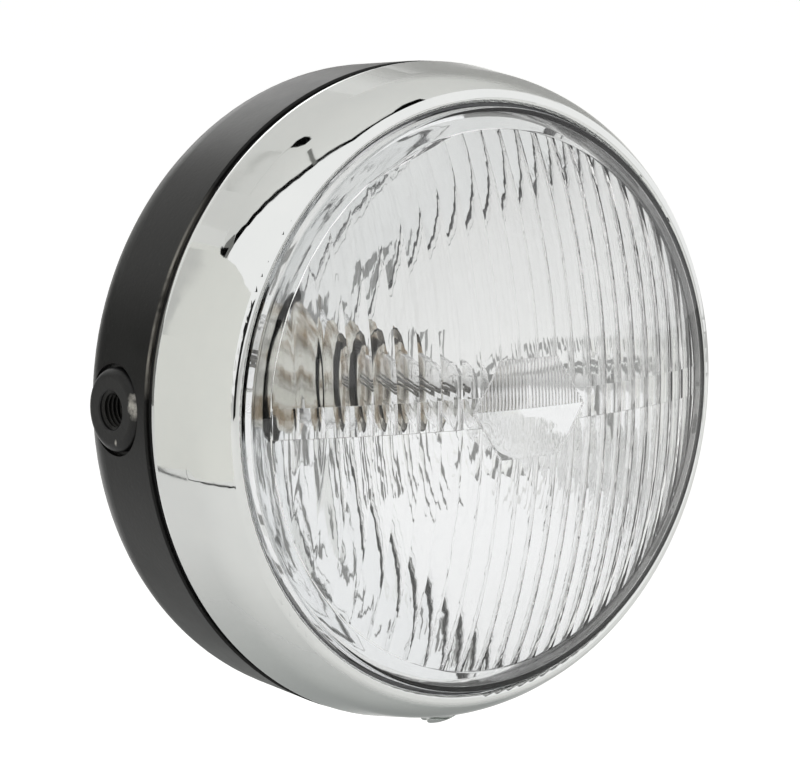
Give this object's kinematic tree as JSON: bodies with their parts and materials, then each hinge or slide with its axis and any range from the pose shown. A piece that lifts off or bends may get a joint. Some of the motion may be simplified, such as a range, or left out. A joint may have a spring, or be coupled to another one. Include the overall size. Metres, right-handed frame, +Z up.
{
  "type": "motorbike headlight",
  "caption": "Round motorbike headlight: domed fluted glass in a chromed rim on a black steel bucket, with threaded bosses at the sides for the fork brackets.",
  "frame": {"origin": "on the lamp's axis, at the middle of its depth from the crown of the glass to the back of the bucket", "axes": "+Z up, -Y out of the lens, X across the bike along the side threads"},
  "size_m": [0.1702, 0.113, 0.1718],
  "materials": {
    "black_paint": "satin black stove enamel on pressed steel",
    "black_steel": "black paint, worn bright on one edge",
    "zinc_steel": "zinc-plated steel",
    "black_rubber": "matt moulded rubber",
    "chrome": "bright chrome plate on pressed steel",
    "screw_chrome": "bright plated screw",
    "lens_glass": "clear pressed glass, smooth outside, fluted inside",
    "reflector_silver": "vacuum-silvered lacquer",
    "bulb_glass": "clear bulb glass",
    "bulb_metal": "nickel-plated brass",
    "tungsten": "drawn wire"
  },
  "bodies": {
    "root": {"bucket": "black_paint", "left_thread_boss": "black_steel", "right_thread_boss": "black_steel", "boss_nuts": "zinc_steel", "rim_gasket": "black_rubber", "rim": "chrome", "rim_hook": "zinc_steel", "rim_screw": "screw_chrome", "screw_bracket": "zinc_steel", "lens": "lens_glass", "lens_seal": "black_rubber", "reflector": "reflector_silver", "reflector_tabs": "zinc_steel", "bulb_glass": "bulb_glass", "bulb_base": "bulb_metal", "bulb_blades": "bulb_metal", "bulb_filaments": "tungsten", "bulb_shield": "tungsten", "bulb_retainer": "zinc_steel", "bulb_boot": "black_rubber", "wire_grommet": "black_rubber"}
  },
  "joints": []
}
